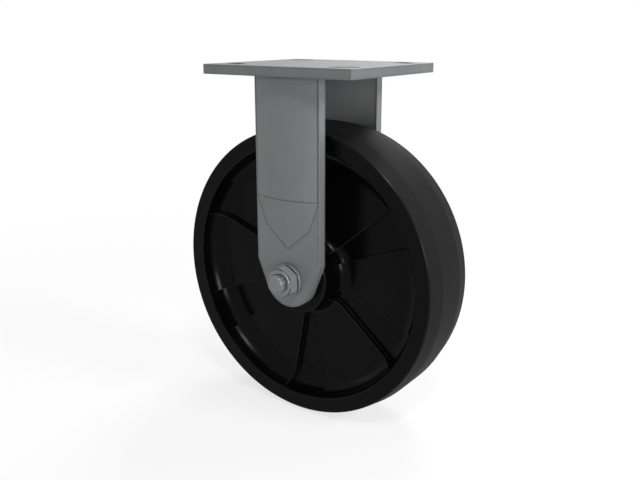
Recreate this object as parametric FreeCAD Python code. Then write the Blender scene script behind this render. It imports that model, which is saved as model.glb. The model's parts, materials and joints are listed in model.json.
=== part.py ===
import FreeCAD, Part
import math
import os

# Fixed castor: a top plate with two formed steel legs, and one moulded wheel that turns on a
# caged roller bearing round a bolted axle.
# Frame: origin at the centre of the top plate's upper face, +Z up, +X the rolling direction,
# +Y along the axle. The left leg is at +Y, the right leg, with the lock nut, at -Y. Millimetres.

V = FreeCAD.Vector

# Whole castor
plate_clearance = 31.75         # top of the wheel to the plate: 241.3 overall
edge_break = 0.5                # rounding of the cut steel edges

# Top plate and its slots, each from a hole of one bolt pattern to a hole of another
plate_length = 114.3            # along X
plate_width = 101.6             # along Y
plate_thickness = 6.35
outer_hole_inset_x = 11.1       # from the plate's edges: 92.1 x 66.7 bolt pattern
outer_hole_inset_y = 17.45
inner_hole_inset_x = 19.05      # 76.2 x 76.2 bolt pattern
inner_hole_inset_y = 12.7
slot_width = 10.32              # clears a 3/8 inch bolt

# Legs
leg_width = 50.8
leg_thickness = 6.35
bulge_width = 48.7              # the upper part bows outwards between two narrow flats
bulge_rise = 5.5
bulge_shoulder_height = 55.1    # above the axle: the bow starts to slope in
bulge_knee_height = 35.85       # above the axle: the slope's edge on the flat turns inwards
bulge_knee_x = 17.07
bulge_tip_height = 21.35        # above the axle: the slope ends in a point
leg_end_radius = 19.05          # round end about the axle
leg_taper_angle = 22.5          # from the vertical

# Wheel, one moulding
wheel_diameter = 203.2
wheel_width = 50.8
flat_tread_width = 24.2
tread_shoulder_drop = 2.2       # how much the tread falls to each side
rim_thickness = 12.7            # tread to the inside of the rim
rim_edge_chamfer = 0.6
rim_lip = 1.6                   # straight wall of the rim before its fillet
rim_fillet = 12.7
hub_diameter = 50.8
hub_length = 61.1
hub_fillet = 7.9
hub_edge_chamfer = 0.6
sector_count = 6                # sunk panels of the web, on each side
sector_angle = 20.0
sector_middle = 30.0            # angle of the first one's middle, from +X
sector_depth = 4.0

# Roller bearing in the hub
bushing_diameter = 19.05
sleeve_outer_diameter = 34.93
sleeve_wall = 1.59
roller_count = 10
roller_clearance = 0.05         # between a roller and each of its races
cage_wall = 3.0                 # radial
cage_end_ring = 3.0             # along the axle
cage_end_clearance = 0.5
pocket_clearance = 0.3          # round each roller
retainer_diameter = 38.1
retainer_thickness = 2.4
retainer_clearance = 0.4        # round the bushing

# Axle bolt, washer and lock nut
bolt_diameter = 12.7
bolt_head_width = 19.05         # across flats
bolt_head_height = 7.94
bolt_end_chamfer = 1.27
bolt_stick_out = 3.4            # past the nut
hole_clearance = 0.2            # radial, in the legs
bushing_clearance = 0.12        # radial, in the bushing
hub_side_clearance = 0.4        # hub to each leg
washer_diameter = 22.2
washer_thickness = 2.38
washer_clearance = 0.35
nut_width = 19.05               # across flats
nut_hex_height = 6.9
nut_collar_height = 1.6
nut_collar_diameter = 18.4
nut_collar_chamfer = 0.3
nut_clearance = 0.1             # radial, where the threads mesh
insert_thickness = 2.4
insert_wall = 1.5
insert_lip = 0.5                # steel in front of the insert
corner_chamfer_angle = 30.0

# Worked out from the sizes above
axle_z = -plate_thickness - plate_clearance - wheel_diameter / 2
leg_inner_y = hub_length / 2 + hub_side_clearance
leg_outer_y = leg_inner_y + leg_thickness
wheel_radius = wheel_diameter / 2
hub_radius = hub_diameter / 2
recess_radius = wheel_radius - rim_thickness
web_y = wheel_width / 2 - rim_lip - rim_fillet
bushing_radius = bushing_diameter / 2
bolt_radius = bolt_diameter / 2
race_radius = sleeve_outer_diameter / 2 - sleeve_wall
pitch_radius = (bushing_radius + race_radius) / 2
roller_radius = (race_radius - bushing_radius) / 2 - roller_clearance
sleeve_half = hub_length / 2 - retainer_thickness
cage_half = sleeve_half - cage_end_clearance
pocket_half = cage_half - cage_end_ring
roller_half = pocket_half - pocket_clearance
washer_face_y = leg_outer_y + washer_thickness
nut_hex_y = washer_face_y + nut_hex_height
nut_face_y = nut_hex_y + nut_collar_height


class Arc:
    # A step of an outline that goes through one point to another on a circle.
    def __init__(self, through, end):
        self.through = through
        self.end = end


def quarter(centre, radius, middle_angle, end_angle):
    # Arc about a centre that ends at one angle and passes another.
    def at(angle):
        turn = math.radians(angle)
        return (centre[0] + radius * math.cos(turn), centre[1] + radius * math.sin(turn))
    return Arc(at(middle_angle), at(end_angle))


def outline(start, steps, place):
    # Closed wire; place turns each pair of numbers into a point in space.
    edges = []
    here = start
    for step in list(steps) + [start]:
        if isinstance(step, Arc):
            edges.append(Part.Arc(place(here), place(step.through), place(step.end)).toShape())
            here = step.end
        elif math.dist(here, step) > 1e-6:
            edges.append(Part.makeLine(place(here), place(step)))
            here = step
    return Part.Wire(edges)


def turned(start, steps, first_angle=0.0, angle=360.0):
    # Solid of revolution about the axle from an outline of (radius, y) pairs.
    section = Part.Face(outline(start, steps, lambda p: V(p[0], p[1], 0)))
    solid = section.revolve(V(0, 0, 0), V(0, 1, 0), angle)
    solid.rotate(V(0, 0, 0), V(0, 1, 0), first_angle)
    solid.translate(V(0, 0, axle_z))
    return solid


def bar(radius, y_from, y_to):
    return Part.makeCylinder(radius, y_to - y_from, V(0, y_from, axle_z), V(0, 1, 0))


def tube(outer, inner, y_from, y_to):
    return bar(outer, y_from, y_to).cut(bar(inner, y_from, y_to))


def fan(shape, count):
    # Equal copies turned round the axle.
    copies = []
    for k in range(count):
        copy = shape.copy()
        copy.rotate(V(0, 0, axle_z), V(0, 1, 0), 360.0 * k / count)
        copies.append(copy)
    return copies


def mirrored(shape):
    return shape.mirror(V(0, 0, 0), V(0, 1, 0))


def rounded(shape, edges):
    return shape.makeFillet(edge_break, edges)


def outward(solid):
    # The solid with its faces turned outwards.
    return solid if solid.Volume > 0 else solid.reversed()


# Top plate

def slot(side_x, side_y):
    # Diagonal slot near one corner of the plate.
    radius = slot_width / 2
    ends = []
    for inset_x, inset_y in ((outer_hole_inset_x, outer_hole_inset_y),
                             (inner_hole_inset_x, inner_hole_inset_y)):
        ends.append(V(side_x * (plate_length / 2 - inset_x),
                      side_y * (plate_width / 2 - inset_y), -plate_thickness))
    along = ends[1] - ends[0]
    length = along.Length
    middle = Part.makeBox(length, slot_width, plate_thickness, V(0, -radius, 0))
    middle.rotate(V(0, 0, 0), V(0, 0, 1), math.degrees(math.atan2(along.y, along.x)))
    middle.translate(ends[0])
    holes = [Part.makeCylinder(radius, plate_thickness, end) for end in ends]
    return middle.fuse(holes).removeSplitter()


def make_top_plate():
    corner = V(-plate_length / 2, -plate_width / 2, -plate_thickness)
    plate = Part.makeBox(plate_length, plate_width, plate_thickness, corner)
    plate = rounded(plate, plate.Edges)
    for side_x in (-1, 1):
        for side_y in (-1, 1):
            plate = plate.cut(slot(side_x, side_y))
    return plate


# Legs

def bow_arc(x_from, x_to, face_y):
    # Stretch of the bow's section at its shoulder, where the flat part lies at face_y.
    radius = ((bulge_width / 2) ** 2 + bulge_rise ** 2) / (2 * bulge_rise)
    points = []
    for x in (x_from, (x_from + x_to) / 2, x_to):
        rise = bulge_rise - radius + math.sqrt(radius ** 2 - x ** 2)
        points.append(V(x, face_y + rise, axle_z + bulge_shoulder_height))
    return Part.Arc(*points).toShape()


def bulge_slope(face_y):
    # Below the shoulder: ruled faces that run in from the bow to a pointed edge on the flat.
    half = bulge_width / 2
    shoulder_z = axle_z + bulge_shoulder_height
    knee_z = axle_z + bulge_knee_height
    foot = [V(-half, face_y, shoulder_z), V(-bulge_knee_x, face_y, knee_z),
            V(0, face_y, axle_z + bulge_tip_height),
            V(bulge_knee_x, face_y, knee_z), V(half, face_y, shoulder_z)]
    lines = [Part.makeLine(start, end) for start, end in zip(foot, foot[1:])]
    arcs = [bow_arc(start.x, end.x, face_y) for start, end in zip(foot, foot[1:])]
    chord = Part.makeLine(foot[0], foot[-1])
    faces = [Part.makeRuledSurface(line, arc) for line, arc in zip(lines, arcs)]
    for edges in (lines, arcs):
        faces.append(Part.Face(Part.Wire(Part.__sortEdges__(edges + [chord]))))
    shell = Part.Shell(faces)
    shell.sewShape()
    return outward(Part.Solid(shell))


def leg_envelope(face_y):
    # Everything on the inner side of a leg surface whose flat part lies at face_y.
    half = bulge_width / 2
    shoulder_z = axle_z + bulge_shoulder_height
    bottom_z = axle_z - leg_end_radius
    back_y = leg_inner_y - leg_thickness
    flat = Part.makeBox(leg_width, face_y - back_y, -plate_thickness - bottom_z,
                        V(-leg_width / 2, back_y, bottom_z))
    chord = Part.makeLine(V(-half, face_y, shoulder_z), V(half, face_y, shoulder_z))
    section = Part.Face(Part.Wire([bow_arc(-half, half, face_y), chord]))
    bow = section.extrude(V(0, 0, -plate_thickness - shoulder_z))
    return flat.fuse([bow, bulge_slope(face_y)])


def leg_blank():
    # Outline seen along the axle: straight sides, tapers, and a round end.
    half = leg_width / 2
    taper = math.radians(leg_taper_angle)
    touch_x = leg_end_radius * math.cos(taper)
    touch_z = -leg_end_radius * math.sin(taper)
    taper_z = touch_z + (half - touch_x) / math.tan(taper)
    top_z = -plate_thickness
    steps = [(half, top_z), (half, axle_z + taper_z), (touch_x, axle_z + touch_z),
             Arc((0, axle_z - leg_end_radius), (-touch_x, axle_z + touch_z)),
             (-half, axle_z + taper_z)]
    face = Part.Face(outline((-half, top_z), steps, lambda p: V(p[0], leg_inner_y, p[1])))
    return face.extrude(V(0, leg_thickness + 2 * bulge_rise, 0))


def make_leg():
    sheet = leg_envelope(leg_outer_y).cut(leg_envelope(leg_inner_y))
    leg = sheet.common(leg_blank())
    hole = bar(bolt_radius + hole_clearance, leg_inner_y - 1, leg_outer_y + 1)
    return leg.cut(hole).removeSplitter()


# Wheel

def wheel_side(sign):
    # Steps of the section from the bearing seat out to the flat tread, on the side of sign.
    half = wheel_width / 2
    seat = sleeve_outer_diameter / 2
    pocket = retainer_diameter / 2
    shoulder = wheel_radius - tread_shoulder_drop
    edge = rim_edge_chamfer
    steps = [
        (seat, sleeve_half), (pocket, sleeve_half), (pocket, hub_length / 2),
        (hub_radius - hub_edge_chamfer, hub_length / 2),
        (hub_radius, hub_length / 2 - hub_edge_chamfer),
        (hub_radius, web_y + hub_fillet),
        quarter((hub_radius + hub_fillet, web_y + hub_fillet), hub_fillet, 225, 270),
        (recess_radius - rim_fillet, web_y),
        quarter((recess_radius - rim_fillet, web_y + rim_fillet), rim_fillet, 315, 360),
        (recess_radius, half - edge), (recess_radius + edge, half),
        (shoulder - edge, half), (shoulder, half - edge),
        (wheel_radius, flat_tread_width / 2),
    ]
    return steps if sign > 0 else reversed_steps(steps)


def reversed_steps(steps):
    # The same run on the other side of the wheel, from the tread in to the seat.
    def flip(point):
        return (point[0], -point[1])
    ends = [step.end if isinstance(step, Arc) else step for step in steps]
    back = [flip(ends[-1])]
    for k in range(len(steps) - 1, 0, -1):
        if isinstance(steps[k], Arc):
            back.append(Arc(flip(steps[k].through), flip(ends[k - 1])))
        else:
            back.append(flip(ends[k - 1]))
    return back


def sunk_panel():
    # What one sunk panel takes out of the near side of the web, with the fillets set deeper.
    floor_y = web_y - sector_depth
    top_y = wheel_width
    steps = [
        quarter((hub_radius + hub_fillet, floor_y + hub_fillet), hub_fillet, 225, 270),
        (recess_radius - rim_fillet, floor_y),
        quarter((recess_radius - rim_fillet, floor_y + rim_fillet), rim_fillet, 315, 360),
        (recess_radius, top_y), (hub_radius, top_y),
    ]
    first = -sector_middle - sector_angle / 2
    return turned((hub_radius, floor_y + hub_fillet), steps, first, sector_angle)


def make_wheel():
    right = wheel_side(-1)
    left = wheel_side(1)
    body = turned(left[0], left[1:] + right)
    panels = fan(sunk_panel(), sector_count)
    panels += [mirrored(panel) for panel in panels]
    return body.cut(panels)


# Roller bearing

def make_bearing_cage():
    cage = tube(pitch_radius + cage_wall / 2, pitch_radius - cage_wall / 2,
                -cage_half, cage_half)
    width = 2 * (roller_radius + pocket_clearance)
    depth = 2 * cage_wall
    pocket = Part.makeBox(depth, 2 * pocket_half, width,
                          V(pitch_radius - depth / 2, -pocket_half, axle_z - width / 2))
    return cage.cut(fan(pocket, roller_count))


def make_rollers():
    roller = Part.makeCylinder(roller_radius, 2 * roller_half,
                               V(pitch_radius, -roller_half, axle_z), V(0, 1, 0))
    return fan(roller, roller_count)


def make_retainer():
    outer = retainer_diameter / 2
    return tube(outer, bushing_radius + retainer_clearance, sleeve_half, hub_length / 2)


# Axle bolt, washer and lock nut

def hexagon(width, y_from, y_to):
    # Six-sided bar along the axle with a corner at the top.
    corner = width / 2 / math.cos(math.radians(30))
    points = []
    for k in range(6):
        turn = math.radians(90 + 60 * k)
        points.append(V(corner * math.cos(turn), y_from, axle_z + corner * math.sin(turn)))
    face = Part.Face(Part.makePolygon(points + points[:1]))
    return face.extrude(V(0, y_to - y_from, 0))


def chamfered_hexagon(width, y_from, y_to):
    # Hexagon whose corners are cut back by a shallow cone at y_to.
    corner = width / 2 / math.cos(math.radians(30))
    drop = (corner - width / 2) * math.tan(math.radians(corner_chamfer_angle))
    low = y_to - math.copysign(drop, y_to - y_from)
    steps = [(corner, y_from), (corner, low), (width / 2, y_to), (0, y_to)]
    return hexagon(width, y_from, y_to).common(turned((0, y_from), steps))


def make_axle_bolt():
    end_y = -(nut_face_y + bolt_stick_out)
    shank = bar(bolt_radius, end_y, leg_outer_y)
    tip = [edge for edge in shank.Edges
           if isinstance(edge.Curve, Part.Circle) and edge.Curve.Center.y < 0]
    shank = shank.makeChamfer(bolt_end_chamfer, tip)
    head = chamfered_hexagon(bolt_head_width, leg_outer_y, leg_outer_y + bolt_head_height)
    return shank.fuse(head)


def insert_radii():
    return bolt_radius, bolt_radius + insert_wall


def make_lock_nut():
    # Hexagon with a round collar that is closed over the insert, bored for the bolt.
    collar_radius = nut_collar_diameter / 2
    body = chamfered_hexagon(nut_width, -nut_hex_y, -washer_face_y)
    collar = turned((0, -nut_hex_y), [
        (collar_radius, -nut_hex_y), (collar_radius, -nut_face_y + nut_collar_chamfer),
        (collar_radius - nut_collar_chamfer, -nut_face_y), (0, -nut_face_y)])
    insert_front = -nut_face_y + insert_lip
    room = bar(insert_radii()[1], insert_front, insert_front + insert_thickness)
    bore = bar(bolt_radius + nut_clearance, -nut_face_y, -washer_face_y)
    return body.fuse(collar).cut([room, bore])


def make_insert():
    inner, outer = insert_radii()
    front = -nut_face_y + insert_lip
    return tube(outer, inner, front, front + insert_thickness)


def make_all():
    leg = make_leg()
    retainer = make_retainer()
    parts = {
        "top_plate": make_top_plate(),
        "left_leg": leg,
        "right_leg": mirrored(leg),
        "axle_bolt": make_axle_bolt(),
        "nut_washer": tube(washer_diameter / 2, bolt_radius + washer_clearance,
                           -washer_face_y, -leg_outer_y),
        "lock_nut": make_lock_nut(),
        "lock_nut_insert": make_insert(),
        "spanner_bushing": tube(bushing_radius, bolt_radius + bushing_clearance,
                                -leg_inner_y, leg_inner_y),
        "wheel": make_wheel(),
        "bearing_sleeve": tube(sleeve_outer_diameter / 2, race_radius,
                               -sleeve_half, sleeve_half),
        "left_bearing_retainer": retainer,
        "right_bearing_retainer": mirrored(retainer),
        "bearing_cage": make_bearing_cage(),
    }
    for k, roller in enumerate(make_rollers()):
        parts["bearing_roller_%02d" % (k + 1)] = roller
    return parts


os.makedirs("parts", exist_ok=True)
for name, shape in make_all().items():
    solids = shape.Solids
    print(name, len(solids), "solid", "valid" if shape.isValid() else "NOT VALID",
          "%.1f mm3" % shape.Volume)
    solids[0].exportStep("parts/%s.step" % name)
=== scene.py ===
import json
import math

import bpy
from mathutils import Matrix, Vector


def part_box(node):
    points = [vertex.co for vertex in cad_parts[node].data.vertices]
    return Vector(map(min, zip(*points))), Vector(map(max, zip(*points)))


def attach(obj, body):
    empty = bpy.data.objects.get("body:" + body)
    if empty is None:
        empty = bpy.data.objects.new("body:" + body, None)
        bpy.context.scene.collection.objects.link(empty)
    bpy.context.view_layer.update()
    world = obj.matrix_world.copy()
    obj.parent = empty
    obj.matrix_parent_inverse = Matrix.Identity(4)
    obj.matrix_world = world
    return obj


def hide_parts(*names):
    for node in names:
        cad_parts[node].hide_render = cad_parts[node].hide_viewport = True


# Fixed castor: the CAD solids get their finishes here, and the axle bolt gets its thread.
# Metres. +Z up, +X the rolling direction, +Y along the axle; the lock nut is at -Y.

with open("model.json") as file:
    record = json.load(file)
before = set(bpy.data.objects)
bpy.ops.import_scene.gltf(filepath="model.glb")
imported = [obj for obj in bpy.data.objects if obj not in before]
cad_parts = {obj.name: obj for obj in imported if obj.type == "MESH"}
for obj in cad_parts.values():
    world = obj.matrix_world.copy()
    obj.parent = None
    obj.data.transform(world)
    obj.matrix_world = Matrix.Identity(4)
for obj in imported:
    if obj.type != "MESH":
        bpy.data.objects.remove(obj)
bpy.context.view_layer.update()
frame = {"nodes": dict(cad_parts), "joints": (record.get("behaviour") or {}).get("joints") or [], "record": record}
bpy.ops.object.select_all(action="DESELECT")
print("frame loaded,", len(frame["nodes"]), "nodes")


# Places taken from the frame

jointPlaces = {joint["name"]: Vector(joint["pos_m"]) for joint in frame["joints"]}
axle = jointPlaces["wheel_spin"]
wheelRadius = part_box("wheel")[1].x
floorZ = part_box("wheel")[0].z


# Shader maths

class Wire:
    # an output socket of a node; the usual operators on it add Math nodes

    def __init__(self, shader, socket):
        self.shader = shader
        self.socket = socket

    def math(self, operation, first, second):
        return self.shader.node("ShaderNodeMath", {"operation": operation}, [first, second])

    def __add__(self, other):
        return self.math("ADD", self, other)

    def __radd__(self, other):
        return self.math("ADD", other, self)

    def __sub__(self, other):
        return self.math("SUBTRACT", self, other)

    def __rsub__(self, other):
        return self.math("SUBTRACT", other, self)

    def __mul__(self, other):
        return self.math("MULTIPLY", self, other)

    def __rmul__(self, other):
        return self.math("MULTIPLY", other, self)

    def __pow__(self, other):
        return self.math("POWER", self, other)

    def __abs__(self):
        return self.math("ABSOLUTE", self, 0.0)


class Shader:
    # the nodes of one material or world, and the patterns that the finishes are made of

    def __init__(self, owner, endKind="ShaderNodeOutputMaterial"):
        self.owner = owner
        self.endKind = endKind
        owner.use_nodes = True
        self.tree = owner.node_tree
        self.tree.nodes.clear()

    def node(self, kind, settings=None, inputs=(), output=0):
        made = self.tree.nodes.new(kind)
        for name, value in (settings or {}).items():
            setattr(made, name, value)
        pairs = inputs.items() if isinstance(inputs, dict) else enumerate(inputs)
        for key, value in pairs:
            if isinstance(value, Wire):
                self.tree.links.new(value.socket, made.inputs[key])
            else:
                made.inputs[key].default_value = value
        return Wire(self, made.outputs[output])

    def finish(self, surface):
        end = self.tree.nodes.new(self.endKind)
        self.tree.links.new(surface.socket, end.inputs["Surface"])
        return self.owner

    def principled(self, inputs):
        return self.node("ShaderNodeBsdfPrincipled", {}, inputs)

    def seen(self):
        # 1 for rays that the camera sees directly, in a reflection or through something
        kinds = ("Is Camera Ray", "Is Glossy Ray", "Is Transmission Ray")
        camera, glossy, through = [self.node("ShaderNodeLightPath", output=kind) for kind in kinds]
        return camera.math("MAXIMUM", camera.math("MAXIMUM", camera, glossy), through)

    def place(self):
        return self.node("ShaderNodeTexCoord", output="Object")

    def parts(self, vector):
        split = self.node("ShaderNodeSeparateXYZ", {}, [vector])
        return [Wire(self, socket) for socket in split.socket.node.outputs]

    def distance(self, first, second):
        return (first ** 2.0 + second ** 2.0) ** 0.5

    def aboutAxle(self):
        # distance from the axle's line, and place along it
        x, y, z = self.parts(self.place())
        return self.distance(x - axle.x, z - axle.z), y

    def facing(self, axis):
        # 1 on a face that looks along an axis of the piece, either way, 0 on one beside it
        normal = self.node("ShaderNodeTexCoord", output="Normal")
        return abs(self.parts(normal)[axis])

    def noise(self, vector, scale, detail, roughness):
        return self.node("ShaderNodeTexNoise", {}, {
            "Vector": vector, "Scale": scale, "Detail": detail, "Roughness": roughness})

    def streaks(self, scale, detail, roughness, turn=(0, 0, 0)):
        # noise drawn out along the axis with the small scale
        vector = self.node("ShaderNodeMapping", {}, {
            "Vector": self.place(), "Rotation": [math.radians(a) for a in turn], "Scale": scale})
        return self.noise(vector, 1.0, detail, roughness)

    def rings(self, perMetre, detail, roughness):
        # fine rings about the axle, as turning, grinding and rolling leave them
        across, along = self.aboutAxle()
        vector = self.node("ShaderNodeCombineXYZ", {}, [across * perMetre, along * perMetre, 0.0])
        return self.noise(vector, 1.0, detail, roughness)

    def swing(self, pattern, amount):
        # a pattern from 0 to 1, made to swing about 0 by half the amount each way
        return (pattern - 0.5) * amount

    def fade(self, value, span):
        # 0 at the first value of the span, 1 at the second, smooth between
        return self.node("ShaderNodeMapRange", {"interpolation_type": "SMOOTHSTEP"}, {
            "Value": value, "From Min": span[0], "From Max": span[1]})

    def mix(self, factor, first, second, kind="RGBA"):
        # the node repeats its socket names for every kind of value, so they go by number
        firstAt, secondAt, resultAt = {"FLOAT": (2, 3, 0), "RGBA": (6, 7, 2)}[kind]
        return self.node("ShaderNodeMix", {"data_type": kind},
                         {0: factor, firstAt: first, secondAt: second}, output=resultAt)

    def lighter(self, colour, strength):
        # a colour scaled by a value near 1
        return self.node("ShaderNodeVectorMath", {"operation": "SCALE"},
                         {0: colour, "Scale": strength})

    def softEdges(self, radius):
        # surface normal with the edges rounded by radius
        return self.node("ShaderNodeBevel", {"samples": 6}, {"Radius": radius})

    def edgeTurn(self, soft):
        # how far the rounded normal leaves the true one: 0 on open faces, more on sharper edges
        true = self.node("ShaderNodeNewGeometry", output="True Normal")
        along = self.node("ShaderNodeVectorMath", {"operation": "DOT_PRODUCT"},
                          [soft, true], output="Value")
        return 1.0 - along

    def corners(self, reach):
        # 1 deep in a corner or a gap narrower than reach, 0 on open faces
        exposed = self.node("ShaderNodeAmbientOcclusion", {"samples": 8}, {"Distance": reach},
                            output="AO")
        return self.fade(1.0 - exposed, (0.15, 0.75))

    def bump(self, height, depth, normal):
        return self.node("ShaderNodeBump", {}, {
            "Height": height, "Distance": depth, "Normal": normal})


# In the dictionaries a Tone makes the colour lighter or darker and a Rough changes the
# roughness. Scales are per metre. A Fade is where a mask starts and where it is full.

# Steel sheet: the plate and the legs

sheetSurface = {
    "edgeRadius": 0.0007,
    "edgeFade": (0.03, 0.12),
    "edgeWearAndHighlightTone": 0.45,                    # rubbed bright, and a painted highlight along the edges
    "edgeRough": -0.10,
    "creaseReach": 0.0016,               # painted shade line beside a shallow bend
    "creaseFade": (0.0006, 0.0016),
    "sharpFade": (0.012, 0.025),         # sharper bends are edges and have no such line
    "levelFade": (0.01, 0.03),           # nor have faces that aren't upright
    "cloudTone": 0.30,
    "cloudRough": 0.22,
    "cloudHeight": 0.2,
    "textureTone": 0.22,                 # rolling grain, or stripes on cut faces
    "textureRough": 0.16,
    "textureHeight": 0.6,
    "cutFade": (0.7, 0.5),
    "scratchScale": (70.0, 1600.0, 1600.0),
    "scratchTurn": (14, 31, 58),
    "scratchFade": (0.70, 0.76),
    "scratchTone": 0.10,
    "scratchRough": -0.06,
    "scratchHeight": -0.5,
    "spotScale": 420.0,
    "spotFade": (0.66, 0.78),
    "spotTone": -0.10,
    "spotRough": 0.08,
    "cutShadeReach": 0.012,                  # painted shade on cut walls that face each other this close
    "cornerShadeTone": -0.55,                  # painted shade in the corners
    "bumpDepth": 0.00004,
}
plateLook = {
    **sheetSurface,
    "colour": (0.152, 0.154, 0.157),
    "roughness": 0.62,
    "metallic": 0.45,
    "cloudScale": 38.0,                  # patches of about 25 mm
    "grainScale": (18.0, 1400.0, 1400.0),  # rolled along X
    "cutAxis": 2,                        # faces that don't look along this axis are cut ones
    "cutScale": (900.0, 900.0, 90.0),
    "cutTone": -0.15,
    "bendShadeTone": -0.35,
    "cutShadeTone": -2.4,
    "cornerReach": 0.0020,
}
legLook = {
    **sheetSurface,
    "colour": (0.126, 0.128, 0.131),
    "roughness": 0.44,
    "metallic": 0.25,
    "cloudScale": 30.0,
    "grainScale": (1400.0, 1400.0, 18.0),  # rolled along Z
    "cutAxis": 1,
    "cutScale": (900.0, 90.0, 900.0),
    "cutTone": 0.22,
    "bendShadeTone": -1.4,
    "cutShadeTone": -0.4,
    "cornerReach": 0.0045,
}


def makeSheetSteel(name, look):
    # satin zinc on rolled sheet: cloudy plating, grain, handling scratches, rubbed edges with a painted highlight,
    # and painted shade beside shallow bends, on close cut walls and in corners
    shader = Shader(bpy.data.materials.new(name))
    place = shader.place()
    soft = shader.softEdges(look["edgeRadius"])
    edge = shader.fade(shader.edgeTurn(soft), look["edgeFade"])
    bend = shader.edgeTurn(shader.softEdges(look["creaseReach"]))
    upright = 1.0 - shader.fade(shader.facing(2), look["levelFade"])
    shallow = 1.0 - shader.fade(bend, look["sharpFade"])
    crease = shader.fade(bend, look["creaseFade"]) * shallow * upright
    cloud = shader.noise(place, look["cloudScale"], detail=4.0, roughness=0.55)
    grain = shader.streaks(look["grainScale"], detail=3.0, roughness=0.6)
    striped = shader.streaks(look["cutScale"], detail=3.0, roughness=0.6)
    lines = shader.streaks(look["scratchScale"], detail=2.0, roughness=0.4,
                           turn=look["scratchTurn"])
    scratch = shader.fade(lines, look["scratchFade"])
    specks = shader.noise(place, look["spotScale"], detail=2.0, roughness=0.6)
    spot = shader.fade(specks, look["spotFade"])
    cut = shader.fade(shader.facing(look["cutAxis"]), look["cutFade"])
    texture = shader.mix(cut, grain, striped, kind="FLOAT")
    # the edge term is partly a painted highlight; the bend, cut-wall and corner terms are painted shade
    tone = (1.0 + shader.swing(cloud, look["cloudTone"])
            + shader.swing(texture, look["textureTone"])
            + scratch * look["scratchTone"] + spot * look["spotTone"]
            + cut * look["cutTone"] + edge * look["edgeWearAndHighlightTone"] + crease * look["bendShadeTone"]
            + cut * shader.corners(look["cutShadeReach"]) * look["cutShadeTone"]
            + shader.corners(look["cornerReach"]) * look["cornerShadeTone"])
    rough = (look["roughness"] + shader.swing(cloud, look["cloudRough"])
             + shader.swing(texture, look["textureRough"])
             + spot * look["spotRough"] + scratch * look["scratchRough"]
             + edge * look["edgeRough"])
    height = (texture * look["textureHeight"] + scratch * look["scratchHeight"]
              + cloud * look["cloudHeight"])
    return shader.finish(shader.principled({
        "Base Color": shader.lighter(look["colour"], tone),
        "Metallic": look["metallic"],
        "Roughness": rough,
        "Normal": shader.bump(height, look["bumpDepth"], soft),
    }))


# Bolt, washer and nut: bright zinc

hardwareLook = {
    "colour": (0.165, 0.168, 0.172),
    "roughness": 0.22,
    "metallic": 0.6,
    "edgeRadius": 0.0003,
    "edgeFade": (0.03, 0.20),
    # painted highlight along the edges
    "edgeWearAndHighlightTone": 0.60,
    "edgeRough": -0.06,
    "cloudScale": 160.0,
    "cloudTone": 0.30,
    "cloudRough": 0.20,
    "turnedScale": 2600.0,
    "turnedTone": 0.20,
    "turnedRough": 0.15,
    "sideFade": (0.7, 0.5),              # painted highlight: flats and rims are made brighter than the turned ends
    "litFlatsTone": 0.8,
    "cornerReach": 0.0018,
    # painted shade in corners and gaps
    "cornerShadeTone": -1.8,
    "bumpDepth": 0.00002,
}


def makeHardwareZinc(look):
    shader = Shader(bpy.data.materials.new("brightZinc"))
    soft = shader.softEdges(look["edgeRadius"])
    edge = shader.fade(shader.edgeTurn(soft), look["edgeFade"])
    cloud = shader.noise(shader.place(), look["cloudScale"], detail=3.0, roughness=0.5)
    turned = shader.rings(look["turnedScale"], detail=2.0, roughness=0.5)
    side = shader.fade(shader.facing(1), look["sideFade"])
    # the edge term and the flats term are painted highlights, the corner term is painted shade
    tone = (1.0 + shader.swing(cloud, look["cloudTone"]) + shader.swing(turned, look["turnedTone"])
            + edge * look["edgeWearAndHighlightTone"] + side * look["litFlatsTone"]
            + shader.corners(look["cornerReach"]) * look["cornerShadeTone"])
    rough = (look["roughness"] + shader.swing(cloud, look["cloudRough"])
             + shader.swing(turned, look["turnedRough"]) + edge * look["edgeRough"])
    return shader.finish(shader.principled({
        "Base Color": shader.lighter(look["colour"], tone),
        "Metallic": look["metallic"],
        "Roughness": rough,
        "Normal": shader.bump(turned, look["bumpDepth"], soft),
    }))


# Bearing steel: ground, with a film of oil

bearingLook = {
    "colour": (0.50, 0.50, 0.50),
    "roughness": 0.20,
    "metallic": 1.0,
    "edgeRadius": 0.0002,
    "groundScale": 3000.0,
    "groundTone": 0.2,
    "groundRough": 0.16,
    "filmScale": 120.0,
    "filmRough": 0.1,
    "coatWeight": 0.3,
    "coatRoughness": 0.08,
    "bumpDepth": 0.00001,
}


def makeBearingSteel(look):
    shader = Shader(bpy.data.materials.new("groundSteel"))
    ground = shader.rings(look["groundScale"], detail=3.0, roughness=0.6)
    film = shader.noise(shader.place(), look["filmScale"], detail=3.0, roughness=0.5)
    tone = 1.0 + shader.swing(ground, look["groundTone"])
    rough = (look["roughness"] + shader.swing(ground, look["groundRough"])
             + shader.swing(film, look["filmRough"]))
    soft = shader.softEdges(look["edgeRadius"])
    return shader.finish(shader.principled({
        "Base Color": shader.lighter(look["colour"], tone),
        "Metallic": look["metallic"],
        "Roughness": rough,
        "Coat Weight": look["coatWeight"],
        "Coat Roughness": look["coatRoughness"],
        "Normal": shader.bump(ground, look["bumpDepth"], soft),
    }))


# Nylon of the lock nut's ring

nylonLook = {
    "colour": (0.74, 0.74, 0.70),
    "roughness": 0.45,
    "edgeRadius": 0.0002,
    "cloudScale": 300.0,
    "cloudTone": 0.12,
    "cloudRough": 0.15,
    "bumpDepth": 0.00003,
}


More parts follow.
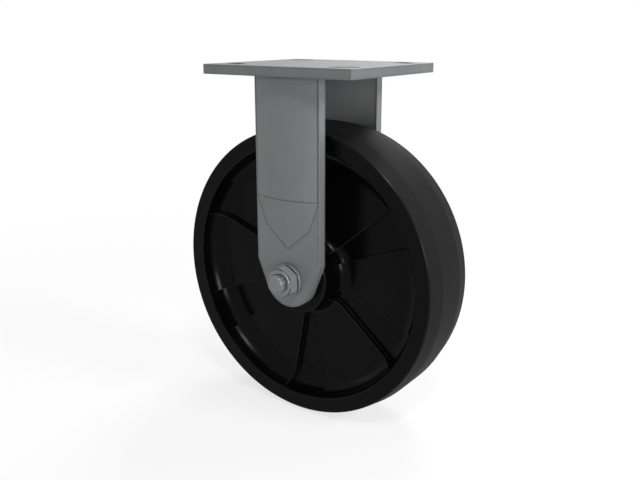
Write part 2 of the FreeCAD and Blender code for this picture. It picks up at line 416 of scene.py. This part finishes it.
def makeNylon(look):
    shader = Shader(bpy.data.materials.new("naturalNylon"))
    cloud = shader.noise(shader.place(), look["cloudScale"], detail=3.0, roughness=0.5)
    tone = 1.0 + shader.swing(cloud, look["cloudTone"])
    soft = shader.softEdges(look["edgeRadius"])
    return shader.finish(shader.principled({
        "Base Color": shader.lighter(look["colour"], tone),
        "Roughness": look["roughness"] + shader.swing(cloud, look["cloudRough"]),
        "Normal": shader.bump(cloud, look["bumpDepth"], soft),
    }))


# Wheel: black moulded plastic with a lighter tread, partly rubbed and partly painted light, and a painted
# highlight along the edges

wheelLook = {
    "colour": (0.0015, 0.0015, 0.0016, 1.0),
    # lighter tread: partly rolling wear, partly painted light
    "treadColour": (0.0065, 0.0065, 0.0065, 1.0),
    # painted highlight along the edges
    "edgeHighlightColour": (0.045, 0.045, 0.046, 1.0),
    "specular": 0.062,
    "roughness": 0.22,
    "treadRoughness": 0.60,
    "treadFade": (0.00455, 0.0035),      # depths under the running surface
    "outwardFade": (0.75, 0.45),         # the wheel's side faces have no tread
    "edgeRadius": 0.0006,
    "edgeFade": (0.02, 0.15),
    "edgeHighlightShare": 0.7,
    "cornerReach": 0.0015,
    "flowScale": 26.0,                   # broad clouds of the moulding
    "flowTone": 0.35,
    "flowRough": 0.14,
    "peelScale": 900.0,                  # fine unevenness of the mould
    "peelHeight": 0.5,
    "rolledScale": 900.0,                # tread only, as is the scuff
    "rolledTone": 0.5,
    "rolledRough": 0.12,
    "rolledHeight": 0.6,
    "scuffScale": 240.0,
    "scuffFade": (0.56, 0.72),
    "scuffTone": 0.35,
    "scuffRough": 0.08,
    "bumpDepth": 0.00003,
}


def makeWheelPlastic(look):
    shader = Shader(bpy.data.materials.new("mouldedBlack"))
    place = shader.place()
    soft = shader.softEdges(look["edgeRadius"])
    edge = shader.fade(shader.edgeTurn(soft), look["edgeFade"])
    # painted highlight on the edges, kept out of concave corners
    edgeHighlight = edge * (1.0 - shader.corners(look["cornerReach"])) * look["edgeHighlightShare"]
    across, along = shader.aboutAxle()
    outward = shader.fade(shader.facing(1), look["outwardFade"])
    tread = shader.fade(across, [wheelRadius - depth for depth in look["treadFade"]]) * outward
    flow = shader.noise(place, look["flowScale"], detail=4.0, roughness=0.55)
    peel = shader.noise(place, look["peelScale"], detail=2.0, roughness=0.5)
    rolled = shader.rings(look["rolledScale"], detail=3.0, roughness=0.6)
    patches = shader.noise(place, look["scuffScale"], detail=4.0, roughness=0.7)
    scuff = shader.fade(patches, look["scuffFade"]) * tread
    colour = shader.mix(tread, look["colour"], look["treadColour"])
    colour = shader.mix(edgeHighlight, colour, look["edgeHighlightColour"])
    tone = (1.0 + shader.swing(flow, look["flowTone"])
            + shader.swing(rolled, look["rolledTone"]) * tread + scuff * look["scuffTone"])
    rough = (look["roughness"] + (look["treadRoughness"] - look["roughness"]) * tread
             + shader.swing(flow, look["flowRough"])
             + shader.swing(rolled, look["rolledRough"]) * tread + scuff * look["scuffRough"])
    height = peel * look["peelHeight"] + rolled * look["rolledHeight"] * tread
    return shader.finish(shader.principled({
        "Base Color": shader.lighter(colour, tone),
        "Roughness": rough,
        "Specular IOR Level": look["specular"],
        "Normal": shader.bump(height, look["bumpDepth"], soft),
    }))


# Axle bolt with a cut thread

boltMake = {
    "radius": 0.00635,
    "crestRadius": 0.00631,              # the thread is cut a little under the shank
    "pitch": 0.00195,                    # 13 threads to the inch
    "rootShare": 1 / 4,                  # flat root and crest, as shares of the pitch
    "crestShare": 1 / 8,
    "threadDepth": 0.00115,
    "threadLength": 0.0254,
    "turnSteps": 48,
    "endChamfer": 0.00127,
    "headAcross": 0.01905,               # across the flats
    "headHeight": 0.00794,
    "headCone": 30.0,                    # degrees between the cone and the head's end face
    "seatThickness": 0.0004,             # round seat under the head
    "seatShare": 0.97,                   # of the width across the flats
    "overlap": 0.001,                    # pieces run this far into each other before joining
    "sides": 96,
    "smoothAngle": 35.0,
}
mergeGap = 0.000001                      # points nearer than this become one
seamGap = 0.00001                        # the same between the turns of the thread
sliverWidth = 0.000002
upToAlong = (-math.pi / 2, 0, 0)         # turns a primitive's own +Z to +Y, along the axle


def selectAll():
    bpy.ops.mesh.select_all(action="SELECT")


def editMode(on):
    bpy.ops.object.mode_set(mode="EDIT" if on else "OBJECT")


def keepOnly(piece):
    bpy.ops.object.select_all(action="DESELECT")
    piece.select_set(True)
    bpy.context.view_layer.objects.active = piece


def applyModifiers(piece):
    keepOnly(piece)
    for modifier in list(piece.modifiers):
        bpy.ops.object.modifier_apply(modifier=modifier.name)


def combine(piece, other, operation):
    # boolean with the other piece, which is used up
    modifier = piece.modifiers.new(operation, "BOOLEAN")
    modifier.operation = operation
    modifier.solver = "EXACT"
    modifier.object = other
    applyModifiers(piece)
    bpy.data.objects.remove(other)


def settle(piece):
    # puts the piece's place into its mesh, with its object at the origin
    keepOnly(piece)
    bpy.ops.object.transform_apply(location=True, rotation=True, scale=True)


def mergeAndTurnOut():
    # for edit mode: points that lie together are merged and the faces turned outwards
    bpy.ops.mesh.remove_doubles(threshold=mergeGap)
    bpy.ops.mesh.normals_make_consistent(inside=False)


def barAlongAxle(name, radius, fromY, toY, sides):
    bpy.ops.mesh.primitive_cylinder_add(
        vertices=sides, radius=radius, depth=toY - fromY,
        location=(axle.x, (fromY + toY) / 2, axle.z), rotation=upToAlong)
    bar = bpy.context.object
    bar.name = name
    return bar


def makeThread(make, fromY, toY):
    # the profile of one turn is drawn from a single point, then screwed along the axle
    root = make["pitch"] * make["rootShare"]
    crest = make["pitch"] * make["crestShare"]
    flank = (make["pitch"] - root - crest) / 2
    bpy.ops.mesh.primitive_plane_add(size=crest, location=(axle.x, fromY, axle.z))
    thread = bpy.context.object
    editMode(True)
    selectAll()
    bpy.ops.mesh.merge(type="CENTER")
    bpy.ops.transform.translate(value=(make["crestRadius"] - make["threadDepth"], 0, 0))
    for step in ((0, root, 0), (make["threadDepth"], flank, 0),
                 (0, crest, 0), (-make["threadDepth"], flank, 0)):
        bpy.ops.mesh.extrude_region_move(TRANSFORM_OT_translate={"value": step})
    editMode(False)
    screw = thread.modifiers.new("turns", "SCREW")
    screw.axis = "Y"
    screw.screw_offset = make["pitch"]
    screw.iterations = math.ceil((toY - fromY) / make["pitch"]) + 2
    screw.steps = make["turnSteps"]
    screw.render_steps = make["turnSteps"]
    screw.use_merge_vertices = True
    screw.merge_threshold = seamGap
    applyModifiers(thread)
    return thread


def trimAlongAxle(piece, fromY, toY):
    # cuts both ends square and closes them
    keepOnly(piece)
    editMode(True)
    for y, side in ((fromY, "inner"), (toY, "outer")):
        selectAll()
        bpy.ops.mesh.bisect(plane_co=(axle.x, y, axle.z), plane_no=(0, 1, 0), use_fill=True,
                            clear_inner=side == "inner", clear_outer=side == "outer")
    selectAll()
    mergeAndTurnOut()
    editMode(False)


def clearSlivers(piece):
    # joining leaves slivers: faces are split into triangles and the ones with no area go
    keepOnly(piece)
    editMode(True)
    selectAll()
    bpy.ops.mesh.quads_convert_to_tris(quad_method="BEAUTY", ngon_method="BEAUTY")
    bpy.ops.mesh.dissolve_degenerate(threshold=sliverWidth)
    mergeAndTurnOut()
    editMode(False)


def makePoint(make, lowY, endY):
    # bar that gives the thread its outside and the chamfer on the end that shows
    point = barAlongAxle("point", make["radius"], lowY, endY, make["sides"])
    editMode(True)
    bpy.ops.mesh.select_all(action="DESELECT")
    editMode(False)
    for polygon in point.data.polygons:
        polygon.select = polygon.center.z < -make["threadLength"] / 3  # its own -Z is that end
    editMode(True)
    bpy.ops.mesh.bevel(offset=make["endChamfer"], segments=1, affect="EDGES")
    editMode(False)
    return point


def makeHexHead(make, seatY, outerY):
    # hexagon with a corner at the top, cut back by a shallow cone, on a thin round seat
    flatRadius = make["headAcross"] / 2
    cornerRadius = flatRadius / math.cos(math.radians(30))
    head = barAlongAxle("boltHead", cornerRadius, seatY + make["seatThickness"], outerY, 6)
    run = 1 / math.tan(math.radians(make["headCone"]))
    depth = make["headHeight"] + make["overlap"]
    smallRadius = flatRadius - make["overlap"] * run
    bpy.ops.mesh.primitive_cone_add(
        vertices=make["sides"], radius1=smallRadius + depth * run, radius2=smallRadius,
        depth=depth, location=(axle.x, outerY + make["overlap"] - depth / 2, axle.z),
        rotation=upToAlong)
    combine(head, bpy.context.object, "INTERSECT")
    seat = barAlongAxle("boltSeat", flatRadius * make["seatShare"], seatY,
                        seatY + make["seatThickness"] * 2, make["sides"])
    combine(head, seat, "UNION")
    return head


def makeAxleBolt(make):
    low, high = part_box("axle_bolt")
    seatY = high.y - make["headHeight"]
    threadEnd = low.y + make["threadLength"]
    # the thread has turns to spare at both ends, which the trim and the point take off
    thread = makeThread(make, low.y - 3 * make["pitch"], threadEnd + make["pitch"])
    trimAlongAxle(thread, low.y - make["pitch"], threadEnd + make["pitch"] / 2)
    combine(thread, makePoint(make, low.y, threadEnd), "INTERSECT")
    shank = barAlongAxle("shank", make["radius"], threadEnd - make["overlap"] / 2,
                         seatY + make["overlap"], make["sides"])
    combine(shank, thread, "UNION")
    combine(shank, makeHexHead(make, seatY, high.y), "UNION")
    clearSlivers(shank)
    settle(shank)
    bpy.ops.object.shade_smooth_by_angle(angle=math.radians(make["smoothAngle"]))
    shank.name = "threadedAxleBolt"
    return shank


axleBolt = makeAxleBolt(boltMake)
print("axle bolt made,", len(axleBolt.data.polygons), "faces")


# Finishes on the CAD nodes and the bolt

def dress(piece, material):
    piece.data.materials.clear()
    piece.data.materials.append(material)


finishes = {
    "plate_steel": makeSheetSteel("plateSteel", plateLook),
    "leg_steel": makeSheetSteel("legSteel", legLook),
    "bolt_steel": makeHardwareZinc(hardwareLook),
    "bearing_steel": makeBearingSteel(bearingLook),
    "nylon": makeNylon(nylonLook),
    "wheel_plastic": makeWheelPlastic(wheelLook),
}
for subpart in frame["record"]["subparts"]:
    dress(frame["nodes"][subpart["node"]], finishes[subpart["material_slot"]])

dress(axleBolt, finishes["bolt_steel"])
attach(axleBolt, "frame")
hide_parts("axle_bolt")
print("finishes on")


# Floor and surroundings: pale for the camera and in reflections, with the castor's own shadow

floorLook = {
    "radius": 12.0,
    "sides": 96,
    "colour": (0.80, 0.80, 0.80, 1.0),
    "nearLift": 0.72,                    # share of plain white in the floor beside the castor
    "liftFade": (0.15, 0.75),            # distances over which that share grows to all of it
}
surroundings = {"seen": 1.0, "ambient": 0.34}  # strength where it is seen, and as light
white = (1.0, 1.0, 1.0, 1.0)


def makeFloor(look):
    bpy.ops.mesh.primitive_circle_add(vertices=look["sides"], radius=look["radius"],
                                      fill_type="NGON", location=(0, 0, floorZ))
    floor = bpy.context.object
    floor.name = "studioFloor"
    shader = Shader(bpy.data.materials.new("paleFloor"))
    x, y, z = shader.parts(shader.place())
    far = shader.fade(shader.distance(x, y), look["liftFade"])
    lift = look["nearLift"] + (1.0 - look["nearLift"]) * far
    matt = shader.node("ShaderNodeBsdfDiffuse", {}, {"Color": look["colour"]})
    plain = shader.node("ShaderNodeEmission", {}, {"Color": white, "Strength": 1.0})
    mixed = shader.node("ShaderNodeMixShader", {}, [lift * shader.seen(), matt, plain])
    dress(floor, shader.finish(mixed))


def makeSurroundings(look):
    shader = Shader(bpy.data.worlds.new("paleRoom"), "ShaderNodeOutputWorld")
    strength = look["ambient"] + (look["seen"] - look["ambient"]) * shader.seen()
    bpy.context.scene.world = shader.finish(shader.node("ShaderNodeBackground", {}, {
        "Color": white, "Strength": strength}))


makeFloor(floorLook)
makeSurroundings(surroundings)
print("floor and surroundings made")


# Lamps and camera, placed by compass angle from -Y towards +X, height angle and distance

aim = Vector((-0.00025, 0.0, -0.12079))

lamps = {
    "fillLamp": {"angle": 58.0, "height": 8.0, "distance": 1.5,
                 "wide": 0.50, "high": 0.35, "power": 10.0},
    "endLamp": {"angle": 96.0, "height": 30.0, "distance": 1.3,
                "wide": 0.30, "high": 0.25, "power": 10.0},
    "backLamp": {"angle": -170.0, "height": 46.0, "distance": 1.3,
                 "wide": 0.60, "high": 0.35, "power": 10.0},
    "keyLamp": {"angle": 41.0, "height": 50.0, "distance": 1.3,
                "wide": 0.22, "high": 0.18, "power": 6.5},
    "sideLamp": {"angle": -64.0, "height": 8.0, "distance": 1.4,
                 "wide": 0.30, "high": 0.20, "power": 0.3},
}

cameraView = {"angle": 35.07, "height": 15.57, "distance": 0.5331,
              "lens": 42.81, "sensorWidth": 36.0, "clipStart": 0.01}


def putAround(thing, place):
    # stands on a sphere about the aim and looks at it
    angle, height = math.radians(place["angle"]), math.radians(place["height"])
    thing.location = aim + place["distance"] * Vector(
        (math.cos(height) * math.sin(angle), -math.cos(height) * math.cos(angle),
         math.sin(height)))
    thing.rotation_euler = (aim - thing.location).to_track_quat("-Z", "Y").to_euler()
    bpy.context.scene.collection.objects.link(thing)


def makeLamp(name, lamp):
    data = bpy.data.lights.new(name, "AREA")
    data.shape = "RECTANGLE"
    data.size = lamp["wide"]
    data.size_y = lamp["high"]
    data.energy = lamp["power"]
    putAround(bpy.data.objects.new(name, data), lamp)


def makeCamera(view):
    data = bpy.data.cameras.new("photoCamera")
    data.lens = view["lens"]
    data.sensor_width = view["sensorWidth"]
    data.clip_start = view["clipStart"]
    camera = bpy.data.objects.new("photoCamera", data)
    putAround(camera, view)
    bpy.context.scene.camera = camera


for name, lamp in lamps.items():
    makeLamp(name, lamp)
makeCamera(cameraView)
bpy.context.scene.view_settings.view_transform = "Standard"
print("lamps and camera set")
